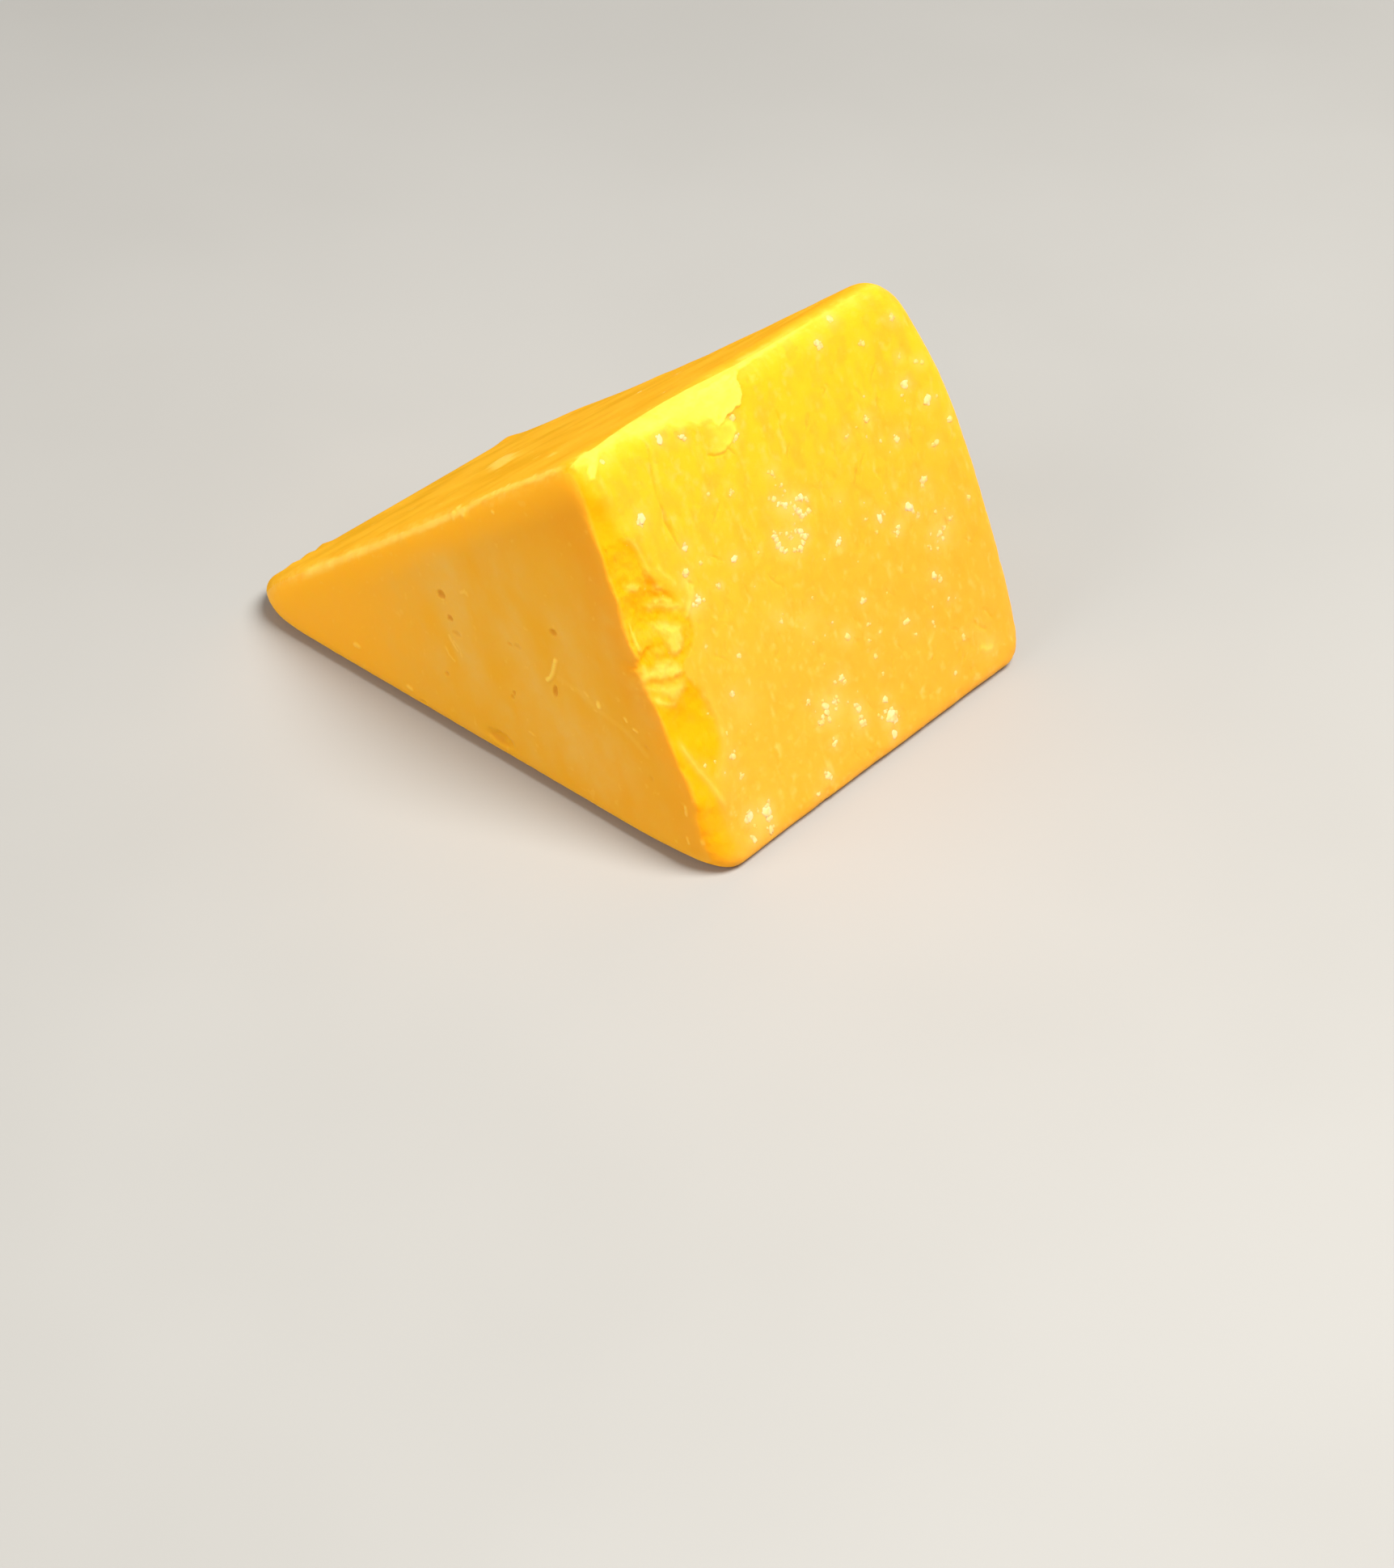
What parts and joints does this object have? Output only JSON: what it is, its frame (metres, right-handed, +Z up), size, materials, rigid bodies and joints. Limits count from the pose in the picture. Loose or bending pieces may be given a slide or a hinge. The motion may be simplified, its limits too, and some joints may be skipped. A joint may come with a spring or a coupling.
{
  "type": "aged red leicester cheese wedge",
  "caption": "Cut wedge of firm orange cheese resting on one cut face, with worn edges, a chipped front edge, small pits and white crystals on its outer side.",
  "frame": {"origin": "middle of the bottom of the bounding box, on the surface that the wedge lies on", "axes": "+X from the thin tip of the wedge to the wheel's outer side, +Y through the wheel's thickness away from the shaded flat face, +Z up"},
  "size_m": [0.1008, 0.0736, 0.0613],
  "materials": {
    "cheese": "waxy satin cut cheese"
  },
  "bodies": {
    "root": {"cheese": "cheese"}
  },
  "joints": []
}
